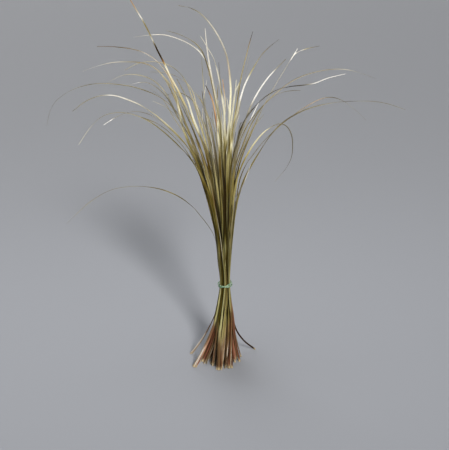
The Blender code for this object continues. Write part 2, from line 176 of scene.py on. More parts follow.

# The leaves that change on their way, as (share of the way to the tip, bright, sheen, red). Bright is the
# leaf's own tone with painted glints on its brightest stretches and painted shade on its darkest, and
# the sheen is painted
CHANGES = {
    "left_leaf_01": [
        (0.30, 0.45, 0.2, 0.2), (0.70, 0.75, 0.4, 0.2), (0.76, 0.95, 0.4, 0.4), (0.784, 0.90, 0.4, 0.2),
        (0.80, 0.30, 0.0, 0.65), (0.812, -0.20, 0.0, 0.0), (0.838, -0.10, 0.3, 0.0), (0.855, 0.80, 0.9, 0.0),
        (0.878, 0.40, 0.0, 0.0), (0.90, 0.45, 0.2, 0.0), (0.917, 0.95, 1.0, 0.0), (0.945, 0.60, 0.6, 0.5),
        (1.0, 0.50, 0.4, 0.9),
    ],
    "left_leaf_02": [
        (0.30, 0.60, 0.2, 0.1), (0.56, 0.55, 0.3, 0.1), (0.62, 0.75, 0.3, 0.1), (0.66, 1.00, 0.4, 0.1),
        (0.71, 0.85, 0.5, 0.2), (0.78, 0.60, 0.6, 0.35), (0.83, 0.90, 0.8, 0.3), (0.87, 0.95, 0.8, 0.3),
        (0.90, 0.60, 0.7, 0.4), (0.94, 0.38, 0.4, 0.4), (1.0, 0.35, 0.4, 0.4),
    ],
    "left_leaf_03": [
        (0.30, 0.50, 0.2, 0.2), (0.70, 0.70, 0.5, 0.3), (0.78, 0.65, 0.7, 0.2), (0.84, 0.45, 0.6, 0.3),
        (0.90, 0.70, 1.0, 0.0), (0.96, 0.95, 1.0, 0.0), (1.0, 0.85, 1.0, 0.0),
    ],
    "left_leaf_04": [
        (0.50, 0.55, 0.6, 0.1), (0.58, 0.62, 0.6, 0.1), (0.62, 0.90, 0.6, 0.0), (0.68, 0.60, 0.6, 0.1),
        (1.0, 0.55, 0.6, 0.1),
    ],
    "left_leaf_06": [
        (0.50, 0.55, 0.5, 0.0), (0.59, 1.00, 0.5, 0.0), (0.66, 0.70, 0.6, 0.0), (1.0, 0.55, 0.6, 0.0),
    ],
    "left_leaf_07": [
        (0.30, 0.60, 0.2, 0.0), (0.42, 0.70, 0.2, 0.0), (0.47, 0.42, 0.2, 0.0), (0.60, 0.60, 0.2, 0.0),
        (0.72, 0.70, 0.4, 0.1), (0.80, 0.75, 0.6, 0.1), (0.86, 0.88, 0.9, 0.0), (0.895, 0.80, 1.0, 0.0),
        (0.915, 0.35, 1.0, 0.0), (1.0, 0.28, 1.0, 0.0),
    ],
    "left_leaf_09": [
        (0.30, 0.45, 0.5, 0.0), (0.60, 0.42, 0.6, 0.0), (0.70, 0.38, 0.9, 0.0), (1.0, 0.36, 1.0, 0.0),
    ],
    "left_leaf_10": [
        (0.20, 0.60, 0.1, 0.1), (0.30, 0.10, 0.1, 0.1), (0.39, 0.12, 0.2, 0.1), (0.45, 0.42, 0.5, 0.0),
        (0.80, 0.45, 0.8, 0.0), (0.93, 0.35, 0.8, 0.0), (0.965, 0.40, 1.0, 0.0), (0.975, 1.20, 1.0, 0.0),
        (1.0, 1.20, 1.0, 0.0),
    ],
    "left_leaf_11": [
        (0.50, 0.45, 0.5, 0.0), (0.85, 0.35, 0.5, 0.0), (0.93, 0.30, 0.5, 0.0), (0.95, 0.85, 0.7, 0.0),
        (1.0, 0.80, 0.6, 0.0),
    ],
    "left_leaf_12": [
        (0.50, 0.45, 0.5, 0.0), (0.85, 0.50, 0.9, 0.0), (0.93, 0.40, 0.8, 0.0), (0.955, 0.50, 1.0, 0.0),
        (0.965, 1.20, 1.0, 0.0), (0.985, 1.20, 1.0, 0.0), (1.0, 0.40, 1.0, 0.0),
    ],
    "left_leaf_13": [
        (0.30, 0.60, 0.2, 0.0), (0.70, 0.50, 0.3, 0.1), (0.77, 0.35, 0.4, 0.1), (0.85, 0.35, 0.4, 0.1),
        (0.90, 0.70, 0.4, 0.0), (1.0, 0.75, 0.4, 0.0),
    ],
    "left_leaf_14": [
        (0.30, 0.50, 0.1, 0.0), (0.50, 0.95, 0.1, 0.0), (0.56, 1.10, 0.1, 0.0), (0.62, 0.90, 0.1, 0.0),
        (0.67, 0.60, 0.1, 0.0), (0.80, 0.20, 0.1, 0.1), (1.0, 0.60, 0.6, 0.0),
    ],
    "left_leaf_15": [
        (0.40, 0.30, 0.0, 0.2), (0.54, 0.45, 0.0, 0.1), (0.59, 0.75, 0.0, 0.1), (0.64, 0.35, 0.0, 0.3),
        (0.68, 0.30, 0.0, 0.3), (0.78, 1.00, 0.2, 0.0), (0.92, 1.00, 0.4, 0.0), (0.95, 0.45, 0.4, 0.0),
        (1.0, 0.35, 0.6, 0.0),
    ],
    "left_leaf_17": [
        (0.50, 0.40, 0.2, 0.0), (0.75, 0.60, 0.5, 0.1), (0.85, 0.70, 1.0, 0.0), (1.0, 0.80, 1.0, 0.0),
    ],
    "left_leaf_19": [
        (0.22, 0.60, 0.0, 0.0), (0.32, 0.22, 0.0, 0.1), (0.42, 0.22, 0.0, 0.1), (0.49, 0.45, 0.0, 0.1),
        (0.55, 0.35, 0.0, 0.1), (0.60, 0.75, 0.1, 0.0), (0.66, 0.50, 0.2, 0.0), (0.80, 0.40, 0.5, 0.0),
        (1.0, 0.60, 0.9, 0.0),
    ],
    "left_leaf_20": [
        (0.22, 0.60, 0.3, 0.1), (0.40, 0.35, 0.3, 0.2), (0.50, 0.50, 0.3, 0.1), (0.58, 0.85, 0.3, 0.0),
        (0.64, 0.40, 0.3, 0.1), (0.70, 0.95, 0.4, 0.1), (0.78, 0.75, 0.5, 0.2), (0.84, 0.62, 0.5, 0.2),
        (1.0, 0.62, 0.5, 0.2),
    ],
    "left_leaf_22": [
        (0.20, 0.55, 0.1, 0.0), (0.35, 0.35, 0.1, 0.0), (0.43, 0.45, 0.1, 0.0), (0.56, 0.42, 0.1, 0.1),
        (0.62, 0.32, 0.1, 0.1), (0.68, 0.62, 0.1, 0.0), (0.75, 0.45, 0.3, 0.1), (1.0, 0.42, 0.3, 0.1),
    ],
    "left_leaf_24": [
        (0.30, 0.35, 0.1, 0.2), (0.42, 0.55, 0.1, 0.1), (0.50, 0.65, 0.1, 0.1), (0.55, 0.80, 0.1, 0.1),
        (0.72, 0.80, 0.2, 0.1), (0.78, 0.50, 0.4, 0.2), (0.84, 0.45, 0.8, 0.1), (1.0, 0.55, 1.0, 0.0),
    ],
    "middle_leaf_01": [
        (0.30, 0.60, 0.0, 0.0), (0.53, 0.65, 0.0, 0.0), (0.57, 1.10, 0.0, 0.0), (0.60, 0.95, 0.1, 0.0),
        (0.63, 1.15, 0.1, 0.0), (0.73, 1.00, 0.3, 0.0), (0.765, 0.60, 0.8, 0.3), (0.84, 0.52, 1.0, 0.1),
        (0.90, 0.58, 1.0, 0.0), (0.95, 0.45, 1.0, 0.0), (1.0, 0.35, 1.0, 0.0),
    ],
    "middle_leaf_02": [
        (0.50, 0.80, 1.0, 0.0), (0.55, 0.70, 1.0, 0.0), (0.59, 0.50, 1.0, 0.0), (0.62, 0.80, 1.0, 0.0),
        (1.0, 0.80, 1.0, 0.0),
    ],
    "middle_leaf_03": [
        (0.30, 0.50, 0.0, 0.0), (0.56, 0.50, 0.0, 0.1), (0.61, 1.15, 0.1, 0.0), (0.67, 0.85, 0.2, 0.0),
        (0.73, 0.70, 0.4, 0.1), (0.77, 0.32, 0.4, 0.0), (0.86, 0.38, 0.5, 0.0), (1.0, 0.45, 0.8, 0.0),
    ],
    "middle_leaf_04": [
        (0.30, 0.45, 0.0, 0.0), (0.58, 0.40, 0.0, 0.1), (0.62, 0.70, 0.0, 0.0), (0.65, 0.80, 0.1, 0.0),
        (0.68, 0.60, 0.2, 0.0), (0.71, 0.75, 0.3, 0.0), (0.80, 0.85, 0.6, 0.0), (1.0, 0.80, 0.9, 0.0),
    ],
    "middle_leaf_05": [
        (0.30, 0.50, 0.0, 0.0), (0.56, 0.75, 0.1, 0.0), (0.61, 0.55, 0.1, 0.1), (0.65, 0.60, 0.1, 0.0),
        (0.68, 1.05, 0.1, 0.0), (0.73, 1.25, 0.2, 0.0), (0.79, 0.95, 0.3, 0.0), (0.815, 0.68, 0.3, 0.0),
        (0.85, 1.00, 0.4, 0.0), (1.0, 0.75, 0.9, 0.0),
    ],
    "middle_leaf_06": [
        (0.50, 0.40, 0.0, 0.1), (0.74, 0.35, 0.0, 0.1), (0.82, 0.75, 0.3, 0.0), (0.88, 0.80, 0.7, 0.0),
        (0.95, 0.75, 0.5, 0.5), (1.0, 0.65, 0.5, 0.9),
    ],
    "middle_leaf_07": [
        (0.20, 0.70, 0.0, 0.0), (0.30, 0.50, 0.0, 0.0), (0.48, 0.85, 0.0, 0.0), (0.59, 0.45, 0.0, 0.1),
        (0.65, 0.70, 0.0, 0.0), (0.70, 0.75, 0.0, 0.0), (0.74, 0.15, 0.0, 0.2), (0.77, 0.40, 0.0, 0.1),
        (0.81, 0.95, 0.1, 0.0), (0.90, 1.10, 0.3, 0.0), (1.0, 0.85, 0.6, 0.0),
    ],
    "middle_leaf_08": [
        (0.30, 0.50, 0.2, 0.0), (0.80, 0.50, 0.3, 0.1), (0.90, 0.50, 0.4, 0.1), (0.955, 0.50, 0.3, 0.3),
        (0.975, 0.50, 0.1, 0.9), (1.0, 0.50, 0.0, 1.1),
    ],
    "middle_leaf_10": [
        (0.30, 0.50, 0.0, 0.0), (0.62, 0.60, 0.1, 0.0), (0.65, 1.00, 0.1, 0.0), (0.68, 0.45, 0.3, 0.0),
        (0.71, 0.42, 0.4, 0.0), (0.74, 0.72, 0.5, 0.0), (0.78, 0.75, 0.7, 0.0), (0.80, 1.15, 1.0, 0.0),
        (0.845, 1.10, 1.0, 0.0), (0.875, 0.70, 0.3, 0.1), (0.94, 0.60, 0.1, 0.3), (0.96, 0.30, 0.2, 0.3),
        (1.0, 0.10, 0.6, 0.0),
    ],
    "middle_leaf_11": [
        (0.20, 0.50, 0.0, 0.1), (0.30, 0.15, 0.0, 0.3), (0.52, 0.20, 0.0, 0.2), (0.61, 0.62, 0.0, 0.1),
        (0.67, 0.42, 0.0, 0.3), (0.72, 0.42, 0.0, 0.3), (0.76, 0.90, 0.0, 0.2), (0.80, 1.20, 0.0, 0.1),
        (0.83, 0.55, 0.0, 0.5), (0.86, 0.60, 0.0, 0.9), (0.90, 0.85, 0.0, 1.1), (1.0, 0.75, 0.0, 1.1),
    ],
    "middle_leaf_13": [
        (0.30, 0.45, 0.0, 0.0), (0.66, 0.35, 0.0, 0.2), (0.74, 0.40, 0.0, 0.2), (0.79, 0.95, 0.1, 0.0),
        (0.84, 1.00, 0.1, 0.0), (0.87, 0.10, 0.0, 0.3), (1.0, 0.50, 0.4, 0.2),
    ],
    "middle_leaf_14": [
        (0.20, 0.95, 0.0, 0.0), (0.32, 0.40, 0.0, 0.1), (0.42, 0.50, 0.0, 0.1), (0.49, 0.10, 0.0, 0.1),
        (0.55, -0.20, 0.0, 0.1), (0.68, -0.10, 0.0, 0.1), (0.73, 0.10, 0.0, 0.1), (0.77, 0.60, 0.0, 0.0),
        (0.82, 1.20, 0.1, 0.0), (0.92, 1.20, 0.2, 0.0), (1.0, 1.00, 0.5, 0.0),
    ],
    "middle_leaf_15": [
        (0.40, 0.55, 0.0, 0.0), (0.62, 0.42, 0.0, 0.1), (0.72, 0.55, 0.0, 0.1), (0.82, 0.90, 0.2, 0.0),
        (1.0, 0.85, 0.4, 0.0),
    ],
    "right_leaf_01": [
        (0.45, 0.50, 0.4, 0.0), (0.51, 0.70, 0.4, 0.0), (0.57, 0.55, 0.5, 0.0), (0.72, 0.50, 0.8, 0.0),
        (0.82, 0.50, 1.0, 0.0), (0.86, 1.15, 1.0, 0.0), (0.94, 1.10, 1.0, 0.0), (0.965, 0.55, 1.0, 0.0),
        (1.0, 0.30, 0.8, 0.2),
    ],
    "right_leaf_02": [
        (0.50, 0.40, 0.5, 0.0), (0.85, 0.60, 0.9, 0.0), (0.89, 0.60, 1.0, 0.1), (0.91, 1.00, 1.0, 0.0),
        (0.945, 1.00, 0.9, 0.0), (0.96, 0.70, 0.3, 0.0), (1.0, 0.55, 0.2, 0.1),
    ],
    "right_leaf_03": [
        (0.50, 0.35, 0.4, 0.0), (0.60, 0.05, 0.8, 0.0), (0.88, 0.08, 0.8, 0.0), (0.925, 1.20, 1.0, 0.0),
        (1.0, 1.30, 1.0, 0.0),
    ],
    "right_leaf_04": [
        (0.30, 0.40, 0.3, 0.2), (0.58, 0.42, 0.8, 0.15), (0.75, 0.45, 1.0, 0.2), (0.85, 0.45, 1.0, 0.2),
        (0.90, 0.55, 1.0, 0.1), (1.0, 0.45, 1.0, 0.0),
    ],
    "right_leaf_05": [
        (0.30, 0.50, 0.3, 0.1), (0.50, 0.40, 0.6, 0.1), (0.60, 0.28, 1.0, 0.0), (0.85, 0.30, 1.0, 0.0),
        (1.0, 0.40, 1.0, 0.0),
    ],
    "right_leaf_06": [
        (0.30, 0.40, 0.3, 0.2), (0.58, 0.35, 0.8, 0.2), (0.76, 0.40, 0.9, 0.2), (0.80, 0.48, 0.8, 0.35),
        (0.85, 0.48, 0.8, 0.35), (0.875, 0.28, 1.0, 0.1), (0.92, 0.30, 1.0, 0.0), (0.94, 0.60, 1.0, 0.0),
        (0.97, 0.60, 1.0, 0.0), (1.0, 0.35, 1.0, 0.0),
    ],
    "right_leaf_07": [
        (0.30, 0.40, 0.1, 0.1), (0.44, 0.25, 0.1, 0.1), (0.50, 0.80, 0.0, 0.0), (0.57, 0.80, 0.0, 0.0),
        (0.63, 0.60, 0.0, 0.0), (0.69, 0.92, 0.0, 0.0), (0.76, 0.92, 0.0, 0.0), (0.785, 0.45, 0.5, 0.0),
        (0.86, 0.25, 1.0, 0.0), (0.95, 0.22, 1.0, 0.0), (0.97, 0.50, 1.0, 0.0), (1.0, 0.50, 1.0, 0.0),
    ],
    "right_leaf_08": [
        (0.50, 0.40, 0.5, 0.0), (0.86, 0.55, 0.9, 0.0), (0.93, 1.15, 1.0, 0.0), (1.0, 1.00, 1.0, 0.0),
    ],
    "right_leaf_09": [
        (0.50, 0.40, 0.5, 0.0), (0.85, 0.55, 0.9, 0.2), (0.90, 1.00, 1.0, 0.2), (1.0, 1.00, 1.0, 0.2),
    ],
    "front_leaf_01": [
        (0.20, 0.60, 0.1, 0.0), (0.34, 0.20, 0.1, 0.1), (0.41, 0.60, 0.2, 0.0), (0.50, 0.50, 0.3, 0.0),
        (0.61, 0.62, 0.4, 0.0), (0.68, 0.28, 0.4, 0.1), (0.75, 0.75, 0.6, 0.0), (1.0, 0.62, 0.6, 0.0),
    ],
    "front_leaf_02": [
        (0.42, 0.42, 0.3, 0.1), (0.49, 0.00, 0.2, 0.2), (0.56, 0.05, 0.2, 0.2), (0.62, 0.32, 0.4, 0.1),
        (0.70, 0.42, 0.7, 0.1), (1.0, 0.42, 0.7, 0.1),
    ],
    "front_leaf_03": [
        (0.37, 0.62, 0.0, 0.0), (0.42, -0.05, 0.0, 0.2), (0.50, -0.25, 0.0, 0.2), (0.62, -0.25, 0.0, 0.2),
        (0.70, 0.80, 0.1, 0.0), (0.80, 0.95, 0.1, 0.0), (1.0, 0.90, 0.3, 0.0),
    ],
    "front_leaf_04": [
        (0.20, 0.90, 0.4, 0.0), (0.32, 0.52, 0.6, 0.0), (1.0, 0.52, 0.8, 0.0),
    ],
}

# Sheath colours of the leaves that show in front, from 0 for a dark brown through russet, salmon and
# tan to 1 for a pale grey, and past 1 where the streaks stay pale too
SHEATHS = {
    "left_leaf_05": 0.20,
    "left_leaf_07": 0.30,
    "left_leaf_08": 0.62,
    "left_leaf_09": 1.15,
    "left_leaf_10": 0.24,
    "left_leaf_13": 0.10,
    "left_leaf_15": 0.72,
    "left_leaf_19": 0.84,
    "left_leaf_20": 0.20,
    "left_leaf_22": 1.05,
    "left_leaf_24": 0.30,
    "front_leaf_01": 0.70,
    "front_leaf_02": 0.66,
    "front_leaf_03": 0.92,
    "front_leaf_04": 0.26,
    "middle_leaf_07": 0.58,
    "middle_leaf_14": 0.72,
    "right_leaf_01": 0.45,
    "right_leaf_03": 0.34,
    "right_leaf_05": 0.66,
    "right_leaf_06": 0.02,
    "right_leaf_07": 0.28,
    "right_leaf_09": 0.14,
}

# Across the neck the leaves carry painted highlights and painted shade, in pale and dark strands which
# repeat after this width, with their shift and their strength
STRAND_WIDTH = 8.5 * MM
STRAND_SHIFT = 0.5 * MM
NECK_HIGHLIGHT_AND_SHADE = 0.36

# The leaf that is split near its bend: the share of its way where the split's direction is taken, the
# share where it starts, and how long it is
SPLIT_LEAF = "right_leaf_02"
SPUR_AIM = 0.88
SPUR_START = 0.905
SPUR_LENGTH = 22 * MM
SPUR_STATIONS = 13
SPUR_WIDTHS = (1.1, 0.5)
SPUR_NATURE = (1.2, 1.0, 0.0)

# How many thinner leaves lie beside a leaf: beside most, beside those in the middle, and beside those
# that stray more or less alone. Each left leaf with two gets a third, and the crowded ones a fourth
FEW, MANY = 2, 3
CROWDED = ("left_leaf_14", "left_leaf_24")
COMPANIONS = {
    "left_leaf_08": 0,
    "left_leaf_09": 1,
    "right_leaf_03": 0,
    "right_leaf_05": 0,
    "right_leaf_06": 0,
    "right_leaf_07": 0,
    "right_leaf_09": 0,
}

# Names of what every vertex of a leaf carries for its finish
GRAIN = "leaf_grain"
PLACE = "leaf_place"
NATURE = "leaf_nature"

# The export's map: its name, what is left free at its ends, round all the lanes and between them, and
# how far from its end the fan's middle lies
EXPORT_MAP = "OFBake"
MAP_END = 0.02
MAP_EDGE = 0.015
MAP_GAP = 0.02
MAP_TIP = 0.005
BAND_MAP_EDGE = 0.01

# Colours as they look on a screen, from dark to bright
STRAW = ((50, 33, 0), (104, 84, 26), (150, 133, 76), (198, 183, 122), (254, 248, 218))
FRESH = ((45, 39, 0), (88, 84, 28), (134, 132, 82), (180, 178, 132), (234, 232, 194))
# The third scale, grey, is a painted sheen
SHEEN_GREYS = ((56, 51, 40), (104, 99, 84), (150, 146, 132), (203, 199, 188), (255, 254, 250))
RUSSET = ((54, 24, 12), (104, 56, 26), (160, 98, 54), (204, 146, 98), (240, 200, 160))

# Sheath colours, each with its place from 0 to 1
SHEATH = (
    (0.0, (44, 22, 8)),
    (0.18, (76, 40, 22)),
    (0.34, (106, 60, 40)),
    (0.46, (190, 132, 106)),
    (0.6, (84, 62, 34)),
    (0.76, (110, 82, 54)),
    (0.9, (140, 112, 86)),
    (1.0, (188, 176, 164)),
)

# The leaf's other colours: its cut end, its dry tip, its spots and its margins, and the painted shade
# between its fibres and in its channel, which darkens what lies under it
CUT_END = (178, 160, 128)
DRY_TIP = (52, 40, 28)
FIBRE_GAP_SHADE = (120, 110, 80)
SPOT = (74, 46, 28)
PALE_MARGIN = (208, 190, 120)
CHANNEL_SHADE = (150, 146, 110)

# The band's colours: its rubber, dark to bright, and its grit
MINT = ((78, 116, 88), (148, 174, 144))
GRIT = (190, 204, 182)

# The leaf's noises: how fast each changes round the leaf and along it, to the metre, and from one leaf
# to the next
PATCHES = (40.0, 22.0, 3.7)
STREAKS = (900.0, 16.0, 5.3)
FIBRES = (3800.0, 60.0, 9.1)
SPOTS = (500.0, 330.0, 2.9)


def spread(index, step):
    """An even scatter of values from 0 to 1: the index times the step, without its whole part."""
    return (index * step) % 1.0


def ease(values):
    """A soft step: 0 below 0, 1 above 1 and a smooth S between, three squares less two cubes."""
    held = np.clip(values, 0, 1)
    return held * held * (3 - 2 * held)


def unit(vectors):
    """The vectors at length one."""
    return vectors / np.linalg.norm(vectors, axis=-1, keepdims=True)


def lengths_along(line):
    """The distance along the line from its start to each of its points."""
    return np.concatenate([[0], np.cumsum(np.linalg.norm(np.diff(line, axis=0), axis=1))])


def smooth(values, knots, at):
    """Values read between the knots on cubics, whose slope at a knot is that of its neighbours."""
    slopes = np.gradient(values, knots, axis=0)
    first = np.clip(np.searchsorted(knots, at, side="right") - 1, 0, len(knots) - 2)
    span = (knots[first + 1] - knots[first])[:, None]
    done = (at - knots[first])[:, None] / span
    near = (2 * done**3 - 3 * done**2 + 1) * values[first] + (3 * done**2 - 2 * done**3) * values[first + 1]
    bend = (done**3 - 2 * done**2 + done) * slopes[first] + (done**3 - done**2) * slopes[first + 1]
    return near + bend * span


def frame_rings(name):
    """The rings of three corners of a leaf's solid, from its cut end to its tip.

    The first ring is the three lowest corners, and each next one is the corners joined to the last.
    """
    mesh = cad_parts[name].data
    corners = np.empty(3 * len(mesh.vertices), np.float32)
    mesh.vertices.foreach_get("co", corners)
    corners, same = np.unique(corners.reshape(-1, 3), axis=0, return_inverse=True)
    loops = np.empty(len(mesh.loops), np.int32)
    mesh.loops.foreach_get("vertex_index", loops)
    faces = same.ravel()[loops].reshape(-1, 3)
    linked = np.zeros((len(corners), len(corners)), bool)
    for first, second in ((0, 1), (1, 2), (2, 0)):
        linked[faces[:, first], faces[:, second]] = True
        linked[faces[:, second], faces[:, first]] = True
    rings = []
    seen = np.zeros(len(corners), bool)
    ring = np.argsort(corners[:, 2])[:3]
    while len(ring):
        rings.append(corners[ring])
        seen[ring] = True
        ring = np.flatnonzero(linked[ring].any(axis=0) & ~seen)
    return np.array(rings, float)


def looseness(height):
    """0 in the neck, 1 above it, and a soft step between."""
    return ease((height - LOOSE_FROM) / (LOOSE_BY - LOOSE_FROM))


class Blade:
    """A leaf's middle line, with its half-width and the way its flat side faces at each station."""

    def __init__(self, line, rise, half, nature, seed, sheath, thinness=1.0):
        self.line = line
        self.along = lengths_along(line)
        self.onward = unit(np.gradient(line, self.along, axis=0))
        rise = rise - (rise * self.onward).sum(axis=1, keepdims=True) * self.onward
        self.rise = unit(rise)
        self.side = np.cross(self.rise, self.onward)
        self.half = half
        self.nature = nature
        self.seed = seed
        self.sheath = sheath
        self.thinness = thinness

    def to_tip(self):
        """The distance left to the tip from each station."""
        return self.along[-1] - self.along

    def rise_turned(self, angle):
        """The way the flat side faces, turned about the line by the angle at each station."""
        return np.cos(angle)[:, None] * self.rise - np.sin(angle)[:, None] * self.side


def nature_along(name, share):
    """The leaf's nature at each share of its way to the tip, as rows of bright, painted sheen and red."""
    if name in NATURES:
        return np.tile(NATURES[name], (len(share), 1))
    stops = np.array(CHANGES[name])
    return np.stack([np.interp(share, stops[:, 0], stops[:, k]) for k in (1, 2, 3)], axis=1)


def blade_of(name, index):
    """The blade along a leaf's solid.

    Each ring gives the middle of the section, the way its flat side faces and its half-width: the
    keel is the corner opposite the longest side. Cubics through them give the stations between.
    """
    rings = frame_rings(name)
    facing = np.linalg.norm(np.roll(rings, -1, axis=1) - np.roll(rings, 1, axis=1), axis=2)
    keel = rings[np.arange(len(rings)), facing.argmax(axis=1)]
    half = facing.max(axis=1) / 2
    flat = (rings.sum(axis=1) - keel) / 2
    rise = (flat - keel) / (SOLID_DEPTH * half[:, None])
    centre = flat - rise * FLAT_SIDE * half[:, None]
    knots = lengths_along(centre)
    at = np.interp(np.arange(STEPS * (len(knots) - 1) + 1) / STEPS, np.arange(len(knots)), knots)
    line = smooth(centre, knots, at)
    nature = nature_along(name, at / knots[-1])
    # Painted highlights and shade across the neck: the leaf is made paler or darker by where it crosses the
    # band's height
    across = np.interp(BAND_HEIGHT, line[RISING, 2], line[RISING, 0])
    strand = NECK_HIGHLIGHT_AND_SHADE * cos(tau * (across - STRAND_SHIFT) / STRAND_WIDTH)
    nature[:, 0] += strand * (1 - looseness(line[:, 2]))
    sheath = SHEATHS.get(name, spread(index, 0.382))
    return Blade(line, smooth(rise, knots, at), np.interp(at, knots, half), nature, float(index), sheath)


def waved(blade):
    """The blade with slow waves and turns in its loose part above the neck.

    The line sways by up to a millimetre on two sines. The section turns about it on two more, and
    the brightest leaves turn their flat side towards the eye, as far out the brightest stretches do.
    """
    loose = np.maximum.accumulate(looseness(blade.line[:, 2]))
    phase = tau * spread(blade.seed, 0.618)
    slow = blade.along * tau / (SLOW_WAVE[0] + SLOW_WAVE[1] * spread(blade.seed, 0.271))
    quick = blade.along * tau / (QUICK_WAVE[0] + QUICK_WAVE[1] * spread(blade.seed, 0.382))
    sway = SWAYS[0] * np.sin(slow + phase) + SWAYS[1] * np.sin(quick + 2 * phase)
    roll = ROLLS[0] * np.sin(slow * 0.7 + 3 * phase) + ROLLS[1] * np.sin(quick * 0.8 + phase)
    out = np.linalg.norm(blade.line[:, :2], axis=1)
    bright = blade.nature[:, 0]
    striking = max(bright.mean() - STRIKING_MEAN, blade.nature[:, (0, 2)].max() - STRIKING_PEAK)
    window = np.hanning(GLINT_STATIONS + 2)[1:-1]
    glint = np.pad(ease((bright - GLINT_FROM) / GLINT_SPAN), GLINT_STATIONS // 2, mode="edge")
    glint = np.convolve(glint, window / window.sum(), "valid")
    far = ease((out - FACING_FROM) / FACING_FROM)
    facing = (1 - far) * float(ease(striking / STRIKING_SPAN)) + far * glint
    to_eye = np.unwrap(np.arctan2(-(blade.side @ TO_EYE), blade.rise @ TO_EYE))
    to_eye -= tau * round(to_eye.mean() / tau)
    turn = facing * to_eye + (1 - FACING_STEADY * facing) * roll
    return Blade(
        blade.line + (loose * sway)[:, None] * blade.side,
        blade.rise_turned(loose * turn),
        blade.half,
        blade.nature,
        blade.seed,
        blade.sheath,
        blade.thinness,
    )


def nested(host, rank, seed, others, random):
    """A thinner leaf that lies in the host's channel through the neck and parts from it above.

    Its line is the host's, lifted off the flat side by a share of the half-width. Above the neck it
    drifts towards the direction that leaves most room among the others, but never far outwards. It
    ends before the host, or where the host has gone far out or high up. Below the neck its foot
    stands a few millimetres away.
    """
    out = np.linalg.norm(host.line[:, :2], axis=1)
    share = random.uniform(*NEST_SHARE)
    wide = random.uniform(*NEST_OUT) * MM * NEST_REACHES[rank]
    high = random.uniform(*NEST_HIGH) * MM
    far = np.flatnonzero(((out > wide) | (host.line[:, 2] > high)) & (host.line[:, 2] > LOOSE_BY))
    last = int(share * (len(out) - 1))
    if len(far):
        last = min(last, far[0])
    last = max(last, int(np.searchsorted(host.line[:, 2], LOOSE_BY)))
    line, half, rise, along = (part[: last + 1] for part in (host.line, host.half, host.rise, host.along))
    height = line[:, 2]
    lift = NEST_HEIGHTS[rank] * half[:, None] * rise
    loose = np.clip((along - LOOSE_FROM) / (along[-1] - LOOSE_FROM), 0, 1) ** DRIFT_POWER
    reach = random.uniform(*NEST_DRIFT) * MM
    droop = random.uniform(*NEST_DROOP) * MM * loose**3
    splay = np.clip(1 - height / BAND_HEIGHT, 0, 1) ** SPLAY_POWER
    step = random.uniform(*NEST_STEP) * MM
    outward = line[-1, :2] / max(out[last], MM)
    best_score = -1.0
    for angle in np.arange(0, tau, tau / DRIFT_WAYS) + random.uniform(0, 0.5):
        toward = np.array([cos(angle), sin(angle), 0])
        if out[last] > FAR_OUT and toward[:2] @ outward > INWARD:
            continue
        tried = line + lift + np.outer(loose * reach + splay * step, toward)
        tried[:, 2] -= droop
        picked = tried[height > LOOSE_FROM][::5]
        room = np.linalg.norm(others[:, None] - picked[None], axis=2).min(axis=0)
        score = np.minimum(room, ROOM_ENOUGH).mean()
        if score > best_score:
            best_score, best = score, tried
    taper = TIP_HALF_WIDTH + TAPER_GAIN * ((along[-1] - along) / TAPER_LENGTH) ** TAPER_POWER
    change = [random.uniform(*limits) for limits in NEST_CHANGES]
    nature = np.clip(host.nature[: last + 1] + change, *NEST_LIMITS)
    width = NEST_WIDTHS[rank] * np.minimum(half, taper)
    thinness = NEST_THINNESS + (1 - NEST_THINNESS) * looseness(height)
    return Blade(best, rise, width, nature, seed, random.uniform(0, 1), thinness)


def spur_of(host):
    """A short split of the host near its bend, which goes straight on where the host turns aside.

    Its line runs on straight in the direction that the host has just before it, and it narrows evenly.
    It counts its way from the host's foot.
    """
    aim, at = np.searchsorted(host.along, np.array([SPUR_AIM, SPUR_START]) * host.along[-1])
    line = host.line[at] + np.linspace(0, SPUR_LENGTH, SPUR_STATIONS)[:, None] * host.onward[aim]
    half = host.half[at] * np.linspace(*SPUR_WIDTHS, SPUR_STATIONS)
    nature = np.tile(SPUR_NATURE, (SPUR_STATIONS, 1))
    rise = np.tile(TO_EYE, (SPUR_STATIONS, 1))
    spur = Blade(line, rise, half, nature, host.seed + 0.3, host.sheath)
    spur.along = spur.along + host.along[at]
    return spur


def section_heights(blade):
    """How far each section point stands towards the flat side, in half-widths, at each station.

    Above, a groove: the flat side's height less a share of one minus the distance from the middle.
    Behind, a blunt keel: the margin's height less a share of the same. In the sheath at the foot
    both are rounder, so that the section is a crescent.
    """
    sheath = 1 - ease(blade.line[:, 2:3] / SHEATH_TOP)
    upper, back = np.abs(UPPER_ACROSS), np.abs(BACK_ACROSS)
    groove = FLAT_SIDE - GROOVE_DEPTH * (1 - upper**GROOVE_POWER) - sheath * SHEATH_HOLLOW * (1 - upper**2)
    keel = FLAT_SIDE - MARGIN - KEEL_DEPTH * (1 - back) ** KEEL_POWER
    round_back = FLAT_SIDE - MARGIN - SHEATH_DEPTH * np.sqrt(1 - back**2)
    keel = keel + sheath * (round_back - keel)
    return np.concatenate([groove, keel], axis=1) * np.reshape(blade.thinness, (-1, 1))


def blade_grid(blade):
    """The blade's surface: at each station, the section's points across and towards the flat side."""
    across = np.concatenate([UPPER_ACROSS, BACK_ACROSS])
    heights = section_heights(blade)
    wide = blade.half[:, None, None]
    points = (
        blade.line[:, None]
        + wide * across[None, :, None] * blade.side[:, None]
        + wide * heights[:, :, None] * blade.rise[:, None]
    )
    low = points[0, :, 2].min()
    if low < 0:
        points[0] -= blade.onward[0] * low / blade.onward[0, 2]
    return points, across


